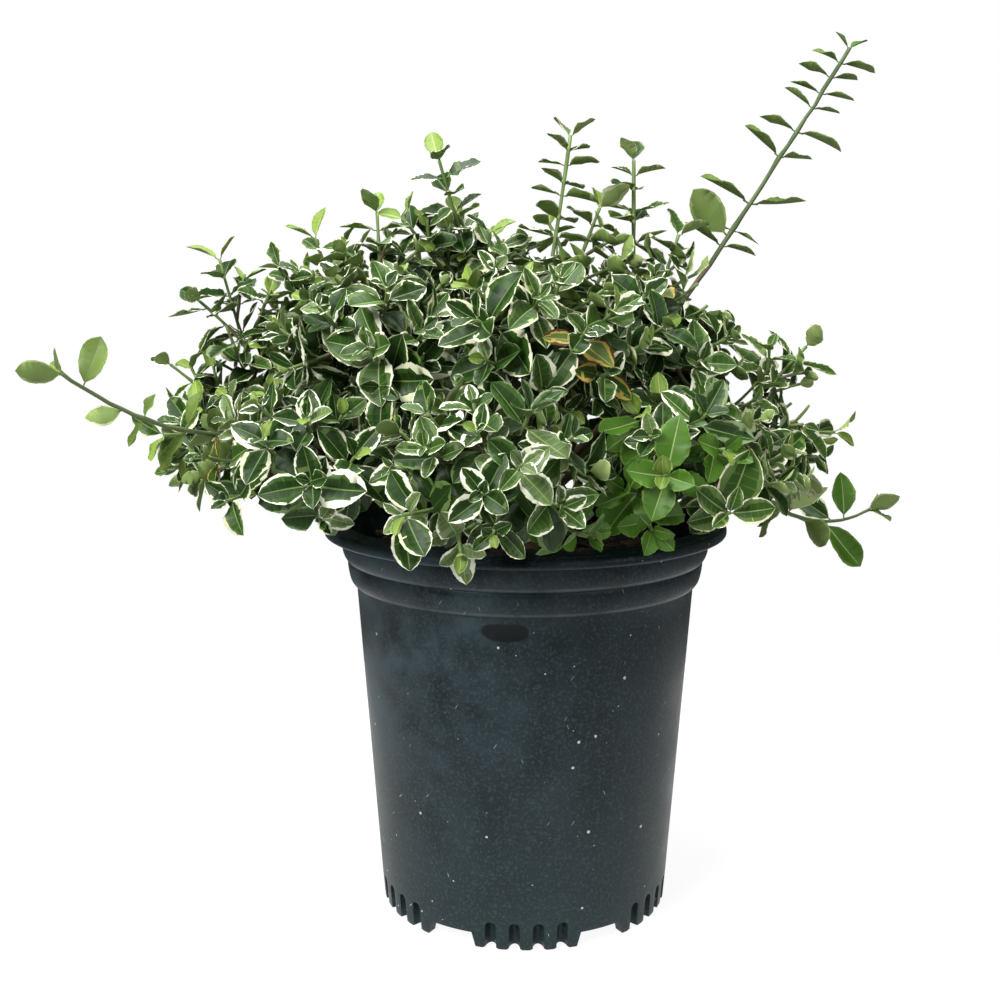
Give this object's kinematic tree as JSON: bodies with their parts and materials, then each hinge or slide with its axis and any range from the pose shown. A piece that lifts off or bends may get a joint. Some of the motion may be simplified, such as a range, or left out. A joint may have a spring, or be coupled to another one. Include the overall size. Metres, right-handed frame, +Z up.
{
  "type": "potted variegated wintercreeper euonymus shrub",
  "caption": "Low, dense variegated evergreen shrub with long side shoots, rooted in a round ribbed plastic nursery pot.",
  "frame": {"origin": "on the ground under the middle of the whole plant, on the pot's axis to within a few millimetres", "axes": "+Z up along the pot's axis, front of the picture towards -Y, +X towards the tall leaning shoot"},
  "size_m": [0.4817, 0.3928, 0.5036],
  "materials": {
    "pot_plastic": "satin, dusty, lightly scratched",
    "potting_mix": "matt, crumbly",
    "stem_bark": "matt, finely cracked bark",
    "bough_bark": "matt, young bark",
    "foliage": "leathery green with cream edges",
    "shoot_foliage": "leathery, fresh green"
  },
  "bodies": {
    "root": {"back_runner": "shoot_foliage", "bough_back_runner": "bough_bark", "bough_crown_top": "bough_bark", "bough_left_runner": "bough_bark", "bough_right_runner": "bough_bark", "bough_shoulder_105": "bough_bark", "bough_shoulder_165": "bough_bark", "bough_shoulder_225": "bough_bark", "bough_shoulder_285": "bough_bark", "bough_shoulder_345": "bough_bark", "bough_shoulder_45": "bough_bark", "bough_skirt_0": "bough_bark", "bough_skirt_135": "bough_bark", "bough_skirt_180": "bough_bark", "bough_skirt_225": "bough_bark", "bough_skirt_270": "bough_bark", "bough_skirt_315": "bough_bark", "bough_skirt_45": "bough_bark", "bough_skirt_90": "bough_bark", "bough_tall_shoot": "bough_bark", "foliage_crown_top": "foliage", "foliage_shoulder_105": "foliage", "foliage_shoulder_165": "foliage", "foliage_shoulder_225": "foliage", "foliage_shoulder_285": "foliage", "foliage_shoulder_345": "foliage", "foliage_shoulder_45": "foliage", "foliage_skirt_0": "foliage", "foliage_skirt_135": "foliage", "foliage_skirt_180": "foliage", "foliage_skirt_225": "foliage", "foliage_skirt_270": "foliage", "foliage_skirt_315": "foliage", "foliage_skirt_45": "foliage", "foliage_skirt_90": "foliage", "left_runner": "shoot_foliage", "main_stem": "stem_bark", "pot": "pot_plastic", "potting_mix": "potting_mix", "right_runner": "shoot_foliage", "tall_shoot": "shoot_foliage"}
  },
  "joints": []
}
